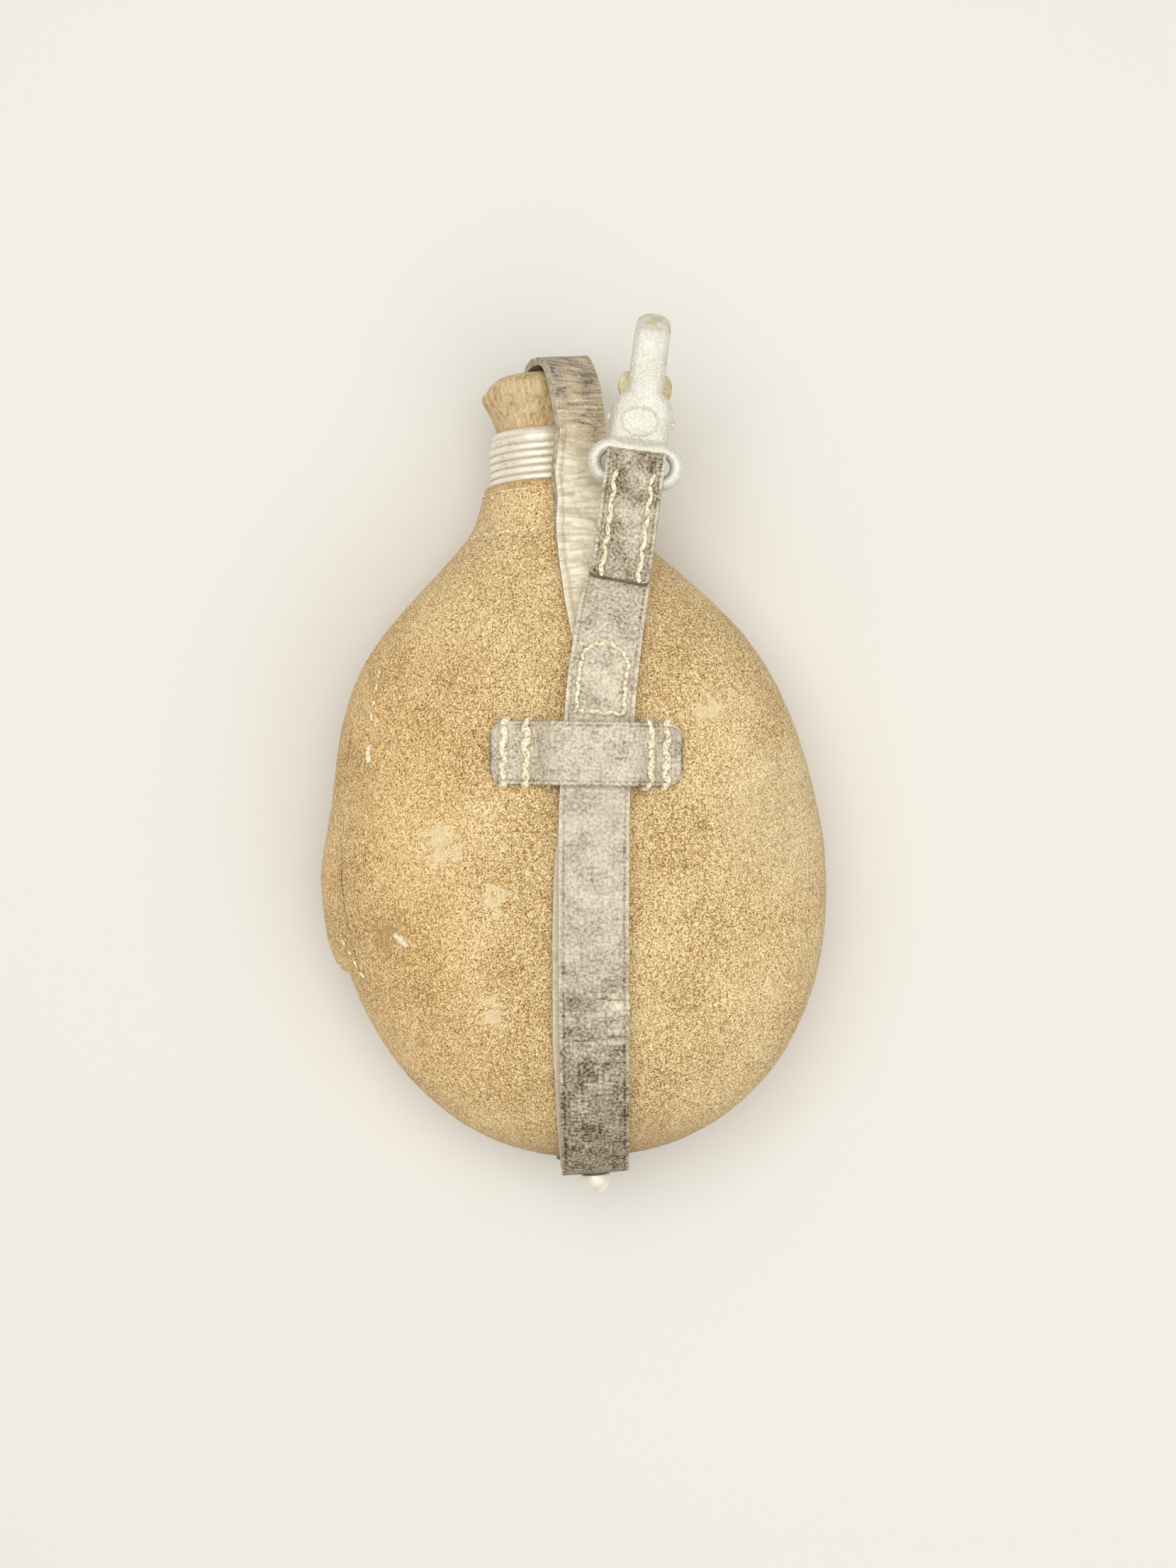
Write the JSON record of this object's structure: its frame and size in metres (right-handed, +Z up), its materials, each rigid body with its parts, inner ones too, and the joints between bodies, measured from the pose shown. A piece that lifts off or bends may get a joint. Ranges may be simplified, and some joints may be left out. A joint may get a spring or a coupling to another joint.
{
  "type": "military canteen",
  "caption": "Felt-covered oval field canteen with a corked aluminium flask, leather harness straps and keepers, and a cast snap hook for hanging it on a belt.",
  "frame": {"origin": "centre of the bounding box in X and Y, on the surface that the canteen's back rests on", "axes": "+Y from the flask's bottom towards its neck, +X across the front to the right, +Z up through the front face"},
  "size_m": [0.153, 0.2601, 0.078],
  "materials": {
    "drawn_aluminium": "dull, oxidised",
    "cast_aluminium": "grainy casting, dull",
    "steel": "dull",
    "cork": "matt, fissured",
    "felt": "fibrous wool felt",
    "dark_leather": "worn, creased",
    "pale_leather": "worn flesh side, wrinkled"
  },
  "bodies": {
    "canteen": {"flask_shell": "drawn_aluminium", "felt_front": "felt", "felt_back": "felt", "felt_collar": "felt", "closing_flap": "felt", "flap_press_stud_1": "steel", "flap_press_stud_2": "steel", "flap_press_stud_3": "steel", "flap_press_stud_4": "steel", "front_keeper": "dark_leather", "rear_keeper": "dark_leather", "hook_strap": "dark_leather", "under_strap": "pale_leather", "back_strap": "dark_leather", "strap_stud": "drawn_aluminium", "stud_plate": "drawn_aluminium"},
    "stopper": {"cork_stopper": "cork", "stopper_strap": "pale_leather"},
    "hook": {"hook_body": "cast_aluminium", "gate_pin": "steel", "gate_spring": "steel"},
    "gate": {"hook_gate": "cast_aluminium"}
  },
  "joints": [
    {"name": "stopper_pull", "type": "slide", "parent": "canteen", "child": "stopper", "axis": [0, 1, 0], "range_m": [0, 0.028]},
    {"name": "hook_swing", "type": "hinge", "parent": "canteen", "child": "hook", "pos_m": [0.02745, 0.08127, 0.0586], "axis": [0.9781, -0.2079, 0], "range_deg": [0, 110]},
    {"name": "gate_hinge", "type": "hinge", "parent": "hook", "child": "gate", "pos_m": [0.03128, 0.09926, 0.053], "axis": [0.9781, -0.2079, 0], "range_deg": [0, 28], "stiffness_Nm_per_rad": 0.05, "springref_deg": -20.05, "deforming": ["gate_spring"]}
  ]
}
